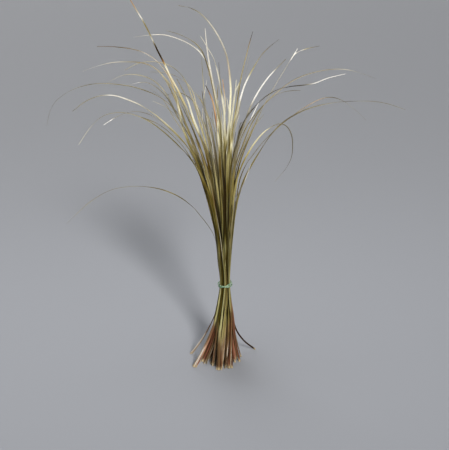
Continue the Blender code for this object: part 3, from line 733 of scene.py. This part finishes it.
def grid_faces(rows, along, round_way):
    """Quads between the rows of a grid whose rings close, and their corners' places on the map.

    The map's values along and round the grid end one past its last point where it closes there.
    """
    ring = len(round_way) - 1
    row, point = np.meshgrid(np.arange(len(along) - 1), np.arange(ring), indexing="ij")
    corners = [(row, point), (row, point + 1), (row + 1, point + 1), (row + 1, point)]
    quads = np.stack([a % rows * ring + b % ring for a, b in corners], axis=2)
    places = np.stack([np.stack([along[a], round_way[b]], axis=2) for a, b in corners], axis=2)
    return quads.reshape(-1, 4), places.reshape(-1, 2)


def blade_parts(blade, lane):
    """One blade's vertices, what they carry, its faces and its place in the export's map.

    The grid's rings close round the leaf, a fan closes each end, and the tip's fan is drawn out to
    a point. On the map the leaf runs from left to right in its lane.
    """
    points, across = blade_grid(blade)
    rows, ring = points.shape[:2]
    foot = points[0].mean(axis=0)
    tip = points[-1].mean(axis=0) + blade.onward[-1] * TIP_LENGTH
    round_way = np.linalg.norm(np.diff(points, axis=1, append=points[:, :1]), axis=2)
    round_way = np.cumsum(round_way, axis=1) - round_way
    along = np.repeat(blade.along[:, None], ring, axis=1)
    left = np.repeat(blade.to_tip()[:, None], ring, axis=1)
    over = np.repeat(across[None], rows, axis=0)
    seed, sheath = np.full((rows, ring), blade.seed), np.full((rows, ring), blade.sheath)
    grain = np.stack([round_way, along, seed], axis=2).reshape(-1, 3)
    place = np.stack([sheath, left, over], axis=2).reshape(-1, 3)
    end_grain = [[0, blade.along[0], blade.seed], [0, blade.along[-1], blade.seed]]
    end_place = [[blade.sheath, blade.to_tip()[0], 0], [blade.sheath, 0, 0]]

    start, height = lane
    middle = start + height / 2
    map_along = (blade.along - blade.along[0]) / (blade.along[-1] - blade.along[0])
    map_along = MAP_END + (1 - 2 * MAP_END) * map_along
    map_round = start + height * np.arange(ring + 1) / ring
    quads, quad_map = grid_faces(rows, map_along, map_round)
    ends = np.arange(ring)
    fans, fan_map = [], []
    for centre, first, centre_at, rim_at, turn in (
        (rows * ring, 0, MAP_TIP, MAP_END, (1, 0)),
        (rows * ring + 1, (rows - 1) * ring, 1 - MAP_TIP, 1 - MAP_END, (0, 1)),
    ):
        rim = [first + (ends + k) % ring for k in turn]
        fans.append(np.stack([np.full(ring, centre), *rim], axis=1))
        rim_map = [np.stack([np.full(ring, rim_at), map_round[ends + k]], axis=1) for k in turn]
        fan_map.append(np.stack([np.tile([centre_at, middle], (ring, 1)), *rim_map], axis=1))
    return {
        "vertices": np.concatenate([points.reshape(-1, 3), [foot, tip]]),
        GRAIN: np.concatenate([grain, end_grain]),
        PLACE: np.concatenate([place, end_place]),
        NATURE: np.concatenate([np.repeat(blade.nature, ring, axis=0), blade.nature[[0, -1]]]),
        "quads": quads,
        "fans": np.concatenate(fans),
        "quad_map": quad_map,
        "fan_map": np.concatenate(fan_map).reshape(-1, 2),
    }


def new_mesh(name, vertices, quads, fans, quad_map, fan_map):
    """A mesh of quads and triangles with the export's map, put in as whole arrays."""
    mesh = bpy.data.meshes.new(name)
    mesh.vertices.add(len(vertices))
    mesh.vertices.foreach_set("co", vertices.astype(np.float32).ravel())
    mesh.loops.add(quads.size + fans.size)
    mesh.loops.foreach_set("vertex_index", np.concatenate([quads.ravel(), fans.ravel()]).astype(np.int32))
    totals = np.concatenate([np.full(len(quads), 4), np.full(len(fans), 3)]).astype(np.int32)
    mesh.polygons.add(len(totals))
    mesh.polygons.foreach_set("loop_start", (np.cumsum(totals) - totals).astype(np.int32))
    mesh.polygons.foreach_set("loop_total", totals)
    mesh.update(calc_edges=True)
    layer = mesh.uv_layers.new(name=EXPORT_MAP)
    layer.data.foreach_set("uv", np.concatenate([quad_map, fan_map]).astype(np.float32).ravel())
    mesh.validate()
    return mesh


def leaf_piece(name, blades, look):
    """The leaf with the thinner leaves that lie in its channel, in place of the leaf's solid."""
    height = (1 - 2 * MAP_EDGE) / len(blades)
    lanes = [(MAP_EDGE + k * height, height - MAP_GAP) for k in range(len(blades))]
    parts = [blade_parts(blade, lane) for blade, lane in zip(blades, lanes)]
    firsts = np.cumsum([0] + [len(part["vertices"]) for part in parts[:-1]])
    mesh = new_mesh(
        name + "_blade",
        joined(parts, "vertices"),
        np.concatenate([part["quads"] + first for part, first in zip(parts, firsts)]),
        np.concatenate([part["fans"] + first for part, first in zip(parts, firsts)]),
        joined(parts, "quad_map"),
        joined(parts, "fan_map"),
    )
    for carried in (GRAIN, PLACE, NATURE):
        attribute = mesh.attributes.new(carried, "FLOAT_VECTOR", "POINT")
        attribute.data.foreach_set("vector", joined(parts, carried).astype(np.float32).ravel())
    mesh.shade_smooth()
    mesh.set_sharp_from_angle(angle=CREASE)
    mesh.materials.append(look)
    piece = placed(name + "_blade", mesh)
    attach(piece, "root")
    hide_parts(name)


def joined(parts, key):
    """What the parts hold under that key, one after another."""
    return np.concatenate([part[key] for part in parts])


def placed(name, data):
    """A new object in the scene."""
    thing = bpy.data.objects.new(name, data)
    bpy.context.scene.collection.objects.link(thing)
    return thing


def reach_of_bunch(blades, angles, heights):
    """How far the leaves reach from the axis at each angle and height near the band."""
    toward = np.stack([np.cos(angles), np.sin(angles)])
    reach = np.zeros(len(angles))
    for blade in blades:
        height, *place = (blade.line[RISING, k] for k in (2, 0, 1))
        place = np.stack([np.interp(heights, height, part) for part in place])
        half = np.interp(heights, height, blade.half[RISING])
        reach = np.maximum(reach, (place * toward).sum(axis=0) + half * SECTION_REACH)
    return reach


def band_line(blades):
    """The band's closed line: twice round the neck, crossing over itself once.

    The two turns lie one above the other. Near the crossing they change places, and the outer one
    is lifted over the inner. Both dip towards the front and rise towards the right.
    """
    lift = 2 * STRAND_RADIUS + STRAND_GAP
    half_turn = tau * np.arange(BAND_STATIONS) / BAND_STATIONS
    angle = CROSSING_ANGLE + pi + 2 * half_turn
    c, s = np.cos(half_turn), np.sin(half_turn)
    side = c / np.sqrt(c**2 + CROSSING_SHARPNESS * s**2)
    over = np.where(s > 0, lift * np.sqrt(np.maximum(0, 1 - side * side)), 0)
    height = BAND_HEIGHT + BAND_DIP * np.sin(angle) + BAND_TILT * np.cos(angle) + TURNS_APART / 2 * side
    radius = reach_of_bunch(blades, angle, height) + BAND_SLACK + STRAND_RADIUS + over
    return np.stack([radius * np.cos(angle), radius * np.sin(angle), height], axis=1)


def make_band(blades, look):
    """The elastic band: a soft-cornered square strand carried along its closed line."""
    line = band_line(blades)
    onward = unit(np.roll(line, -1, axis=0) - np.roll(line, 1, axis=0))
    out = unit(line * [1, 1, 0])
    out = unit(out - (out * onward).sum(axis=1, keepdims=True) * onward)
    up = np.cross(onward, out)
    turn = tau * np.arange(BAND_CORNERS) / BAND_CORNERS
    c, s = np.cos(turn), np.sin(turn)
    corner = (np.abs(c) ** BAND_SQUARENESS + np.abs(s) ** BAND_SQUARENESS) ** (-1 / BAND_SQUARENESS)
    way = tau * np.arange(BAND_STATIONS) / BAND_STATIONS
    swell = 1 + 0.05 * np.sin(5 * way) + 0.03 * np.sin(11 * way + 1)
    size = STRAND_RADIUS * BAND_FILL * swell[:, None] * corner[None]
    points = line[:, None] + (size * c)[:, :, None] * out[:, None] + (size * s)[:, :, None] * up[:, None]
    map_along, map_round = (
        BAND_MAP_EDGE + (1 - 2 * BAND_MAP_EDGE) * np.arange(count + 1) / count
        for count in (BAND_STATIONS, BAND_CORNERS)
    )
    quads, quad_map = grid_faces(BAND_STATIONS, map_along, map_round)
    name = "elastic_band_strand"
    mesh = new_mesh(name, points.reshape(-1, 3), quads, np.empty((0, 3), int), quad_map, np.empty((0, 2)))
    mesh.shade_smooth()
    mesh.materials.append(look)
    piece = placed(name, mesh)
    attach(piece, "root")
    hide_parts("elastic_band")


class Wire:
    """A node's output in a finish, on which plain arithmetic adds Math nodes."""

    def __init__(self, finish, socket):
        self.finish, self.socket = finish, socket

    def maths(self, operation, *values):
        """A Math node with that operation on the values."""
        return self.finish.add("ShaderNodeMath", {"operation": operation}, dict(enumerate(values)))

    def __add__(self, other):
        return self.maths("ADD", self, other)

    def __radd__(self, other):
        return self.maths("ADD", other, self)

    def __sub__(self, other):
        return self.maths("SUBTRACT", self, other)

    def __rsub__(self, other):
        return self.maths("SUBTRACT", other, self)

    def __mul__(self, other):
        return self.maths("MULTIPLY", self, other)

    def __rmul__(self, other):
        return self.maths("MULTIPLY", other, self)

    def between(self, low, high):
        """0 up to low, 1 from high, and a soft step between; the other way round if high is lower."""
        inputs = {"Value": self, "From Min": min(low, high), "From Max": max(low, high)}
        inputs.update({"To Min": float(low > high), "To Max": float(low < high)})
        return self.finish.add("ShaderNodeMapRange", {"interpolation_type": "SMOOTHSTEP"}, inputs)


class Finish:
    """A material under construction, with one method that adds any node."""

    def __init__(self, name):
        self.material = bpy.data.materials.new(name)
        self.material.use_nodes = True
        self.tree = self.material.node_tree
        self.shader = self.tree.nodes["Principled BSDF"]

    def put(self, value, socket):
        """Links a wire to the socket, or sets a plain value on it."""
        if isinstance(value, Wire):
            self.tree.links.new(value.socket, socket)
        else:
            socket.default_value = value

    def add(self, kind, settings=None, inputs=None, output=0):
        """A node: its settings first, such as an operation or a ramp's stops, then its sockets."""
        node = self.tree.nodes.new(kind)
        for key, value in (settings or {}).items():
            if key == "stops":
                for extra in range(len(value) - 2):
                    node.color_ramp.elements.new(0.5)
                for element, (position, colour) in zip(node.color_ramp.elements, value):
                    element.position = position
                    element.color = colour
            else:
                setattr(node, key, value)
        for key, value in (inputs or {}).items():
            self.put(value, node.inputs[key])
        return Wire(self, node.outputs[output])

    def mix(self, share, first, second, blend="MIX"):
        """The first colour turning into the second as the share goes from 0 to 1."""
        settings = {"data_type": "RGBA", "blend_type": blend}
        return self.add("ShaderNodeMix", settings, {0: share, 6: first, 7: second}, 2)

    def ramp(self, tone, *colours):
        """Colours given as they look on a screen, evenly spaced as the tone goes from 0 to 1."""
        stops = [(k / (len(colours) - 1), shade(*colour)) for k, colour in enumerate(colours)]
        return self.add("ShaderNodeValToRGB", {"stops": stops}, {0: tone})

    def carried(self, name):
        """The three numbers that each vertex carries under that name."""
        vector = self.add("ShaderNodeAttribute", {"attribute_name": name}, output="Vector")
        return vector, [self.add("ShaderNodeSeparateXYZ", None, {0: vector}, k) for k in range(3)]

    def noise(self, vector, scale, detail=3.0, roughness=0.55):
        """Soft noise from 0 to 1 at a vector."""
        inputs = {"Vector": vector, "Scale": scale, "Detail": detail, "Roughness": roughness}
        return self.add("ShaderNodeTexNoise", None, inputs, "Fac")

    def stretched(self, vector, scale):
        """The vector with each of its parts times a factor."""
        return self.add("ShaderNodeMapping", None, {"Vector": vector, "Scale": scale})

    def set(self, **values):
        """Puts values on the shader's sockets, whose names have spaces for underscores."""
        for key, value in values.items():
            self.put(value, self.shader.inputs[key.replace("_", " ")])


def shade(red, green, blue):
    """A colour given as it looks on a screen, from 0 to 255, as the light it stands for."""
    screen = np.array([red, green, blue]) / 255
    light = np.where(screen <= 0.04045, screen / 12.92, ((screen + 0.055) / 1.055) ** 2.4)
    return (*(float(part) for part in light), 1.0)


def leaf_finish():
    """The leaf: cream cut end, pink, tan or maroon sheath, olive to straw blade, and a painted grey sheen
    on its far part.

    The zones follow the distance from the foot and to the tip, shifted by slow noise. Fibres are
    noise drawn out along the leaf. A leaf's tone is its brightness with its streaks, made higher up
    more of it as painted light and a little above the neck less of it as painted shade: the tone picks
    the colour on each of three scales, straw, painted grey sheen and russet, and the leaf's nature mixes
    them. Its own number picks its sheath's colour and how green it is.
    """
    f = Finish("bear_grass_leaf")
    grain, (_, from_foot, seed) = f.carried(GRAIN)
    _, (kind, to_tip, across) = f.carried(PLACE)
    _, (bright, painted_sheen, red) = f.carried(NATURE)
    green = f.add("ShaderNodeTexWhiteNoise", {"noise_dimensions": "1D"}, {"W": seed + 0.5}, "Value")

    patches = f.noise(f.stretched(grain, PATCHES), 1.0, 2.0)
    streaks = f.noise(f.stretched(grain, STREAKS), 1.0, 3.0)
    fibres = f.noise(f.stretched(grain, FIBRES), 1.0, 2.0)
    spots = f.noise(f.stretched(grain, SPOTS), 1.0, 2.0)

    # Painted light and shade: the tone grows higher up, and is darker a little above the neck
    risen = from_foot.between(0.16, 0.50)
    shaded = from_foot.between(0.16, 0.28) * from_foot.between(0.5, 0.38)
    tone = bright * (0.68 + 0.3 * risen) + 0.04 - 0.13 * shaded
    tone = tone + (streaks - 0.5) * 0.7 + (patches - 0.5) * 0.4
    straw, fresh, sheen_grey, russet = (f.ramp(tone, *colours) for colours in (STRAW, FRESH, SHEEN_GREYS, RUSSET))
    tinge = (0.5 + 0.5 * green.between(0.3, 0.8)) * (1 - 0.55 * from_foot.between(0.2, 0.4))
    straw = f.mix(tinge, straw, fresh)
    # A painted grey sheen on the far part, and on some leaves higher up
    blade = f.mix(to_tip.between(0.3, 0.1) * painted_sheen, straw, sheen_grey)
    blade = f.mix(painted_sheen.between(0.4, 1.0) * from_foot.between(0.4, 0.56) * 0.6, blade, sheen_grey)
    blade = f.mix(red.between(0.05, 0.9) * streaks.between(0.25, 0.6), blade, russet)

    stops = [(at, shade(*colour)) for at, colour in SHEATH]
    kind = kind - kind.between(0.8, 0.95) * from_foot.between(0.03, 0.08) * 0.45
    sheath = f.add("ShaderNodeValToRGB", {"stops": stops}, {0: kind + (streaks - 0.5) * 0.5})
    sheath = f.mix((from_foot + (fibres - 0.5) * 0.006).between(0.009, 0.001), sheath, shade(*CUT_END))
    side = f.add("ShaderNodeSeparateXYZ", None, {0: f.add("ShaderNodeTexCoord", output="Object")}, 0)
    outer = side.between(0.004, 0.014) * 0.065 + side.between(-0.012, -0.026) * 0.05
    reach = 0.024 + 0.035 * green + outer + (patches - 0.5) * 0.04
    body = f.mix((from_foot - reach).between(0.0, 0.045), sheath, blade)
    body = f.mix(to_tip.between(0.03, 0.004) * painted_sheen.between(0.5, 0.1), body, shade(*DRY_TIP))

    # Painted shade in the hollows between the fibres
    body = f.mix(fibres.between(0.62, 0.38) * 0.35, body, f.mix(1.0, body, shade(*FIBRE_GAP_SHADE), "MULTIPLY"))
    body = f.mix(spots.between(0.66, 0.74) * 0.7, body, shade(*SPOT))
    edge = (across * across).between(0.75, 1.0)
    body = f.mix(edge * tone.between(0.0, 0.9) * 0.4, body, shade(*PALE_MARGIN))
    # Painted shade along the middle of the leaf, where its channel is
    groove = (across * across).between(0.1, 0.0)
    body = f.mix(groove * 0.25, body, f.mix(1.0, body, shade(*CHANNEL_SHADE), "MULTIPLY"))

    ridges = fibres * 0.6 + streaks * 0.4
    bump = f.add("ShaderNodeBump", None, {"Strength": 0.4, "Distance": 0.0001, "Height": ridges}, "Normal")
    f.set(Base_Color=body, Roughness=0.3 + 0.25 * streaks, Normal=bump)
    f.set(Specular_IOR_Level=0.14)
    return f.material


def elastic_finish():
    """The band: mint rubber with a chalky bloom, fine grit and a dull sheen."""
    f = Finish("mint_elastic")
    place = f.add("ShaderNodeTexCoord", output="Object")
    bloom = f.noise(place, 260.0, 3.0)
    grit = f.noise(place, 2600.0, 2.0)
    green = f.mix(bloom.between(0.35, 0.65), *(shade(*colour) for colour in MINT))
    green = f.mix(grit.between(0.6, 0.75) * 0.3, green, shade(*GRIT))
    bump = f.add("ShaderNodeBump", None, {"Strength": 0.35, "Distance": 0.0001, "Height": grit}, "Normal")
    f.set(Base_Color=green, Roughness=0.42 + 0.2 * bloom, Normal=bump)
    return f.material


def plain_finish(name, colour, roughness):
    """A plain matt finish for the floor."""
    f = Finish(name)
    f.set(Base_Color=colour, Roughness=roughness)
    return f.material


def make_floor():
    """A wide round floor, just under the lowest cut end."""
    turn = tau * np.arange(FLOOR_CORNERS) / FLOOR_CORNERS
    rim = np.stack([np.cos(turn), np.sin(turn), np.full(FLOOR_CORNERS, -FLOOR_DROP / FLOOR_RADIUS)], axis=1)
    mesh = bpy.data.meshes.new("studio_floor")
    mesh.from_pydata((FLOOR_RADIUS * rim).tolist(), [], [list(range(FLOOR_CORNERS))])
    mesh.materials.append(plain_finish("floor_grey", shade(*FLOOR), 0.85))
    floor = placed("studio_floor", mesh)


def far_light(name, toward, strength, width, colour):
    """A sun on the way given from the bunch, as wide as the angle."""
    light = bpy.data.lights.new(name, "SUN")
    light.energy = strength
    light.angle = width
    light.color = colour
    placed(name, light).rotation_euler = Vector(toward).to_track_quat("Z", "Y").to_euler()


def soft_light(name, place, aim, size, watts, colour):
    """A square area light at a place, turned to its aim."""
    light = bpy.data.lights.new(name, "AREA")
    light.shape = "SQUARE"
    light.size = size
    light.energy = watts
    light.color = colour
    lamp = placed(name, light)
    lamp.location = place
    lamp.rotation_euler = (Vector(aim) - Vector(place)).to_track_quat("-Z", "Y").to_euler()


def make_lights():
    """A key light from in front, a wide weak one from behind, a small one overhead and a pale sky."""
    far_light("key_light", *KEY_LIGHT)
    far_light("fill_light", *FILL_LIGHT)
    soft_light("top_light", *TOP_LIGHT)
    world = bpy.data.worlds.new("studio")
    bpy.context.scene.world = world
    world.use_nodes = True
    world.node_tree.nodes["Background"].inputs["Color"].default_value = shade(*SKY)
    world.node_tree.nodes["Background"].inputs["Strength"].default_value = SKY_STRENGTH


def make_camera():
    """The eye in front of the bunch, looking down on it by the tilt."""
    side = Vector((1, 0, 0))
    up = Vector((0, sin(EYE_TILT), cos(EYE_TILT)))
    back = Vector((0, -cos(EYE_TILT), sin(EYE_TILT)))
    lens = bpy.data.cameras.new("camera")
    lens.sensor_fit = "HORIZONTAL"
    lens.sensor_width = SENSOR_WIDTH
    lens.lens = SENSOR_WIDTH * EYE_DISTANCE / VIEW_WIDTH
    camera = placed("camera", lens)
    turn = Matrix((side, up, back)).transposed().to_4x4()
    turn.translation = side * EYE_CENTRE[0] + up * EYE_CENTRE[1] + back * EYE_DISTANCE
    camera.matrix_world = turn
    bpy.context.scene.camera = camera


def make_bunch():
    """Every leaf with its thinner leaves, and the band round their neck."""
    names = sorted(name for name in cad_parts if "_leaf_" in name)
    hosts = {name: blade_of(name, index) for index, name in enumerate(names)}
    random = np.random.default_rng(26)
    others = np.concatenate([blade.line[::4] for blade in hosts.values()])
    look = leaf_finish()
    bunch = {name: [waved(host)] for name, host in hosts.items()}
    counts = {name: COMPANIONS.get(name, MANY if name.startswith("middle") else FEW) for name in names}
    lying = [(name, rank) for name in names for rank in range(counts[name])]
    lying += [(name, 2) for name in names if name.startswith("left") and counts[name] == FEW]
    lying += [(name, 3) for name in names if CROWDED[0] <= name <= CROWDED[1]]
    for name, rank in lying:
        thin = nested(hosts[name], rank, 100.0 + 2 * names.index(name) + rank, others, random)
        others = np.concatenate([others, thin.line[::4]])
        bunch[name].append(thin)
    bunch[SPLIT_LEAF].append(spur_of(bunch[SPLIT_LEAF][0]))
    for name, blades in bunch.items():
        leaf_piece(name, blades, look)
    make_band(hosts.values(), elastic_finish())


make_camera()
make_lights()
make_floor()
make_bunch()
bpy.context.scene.view_settings.view_transform = "Standard"
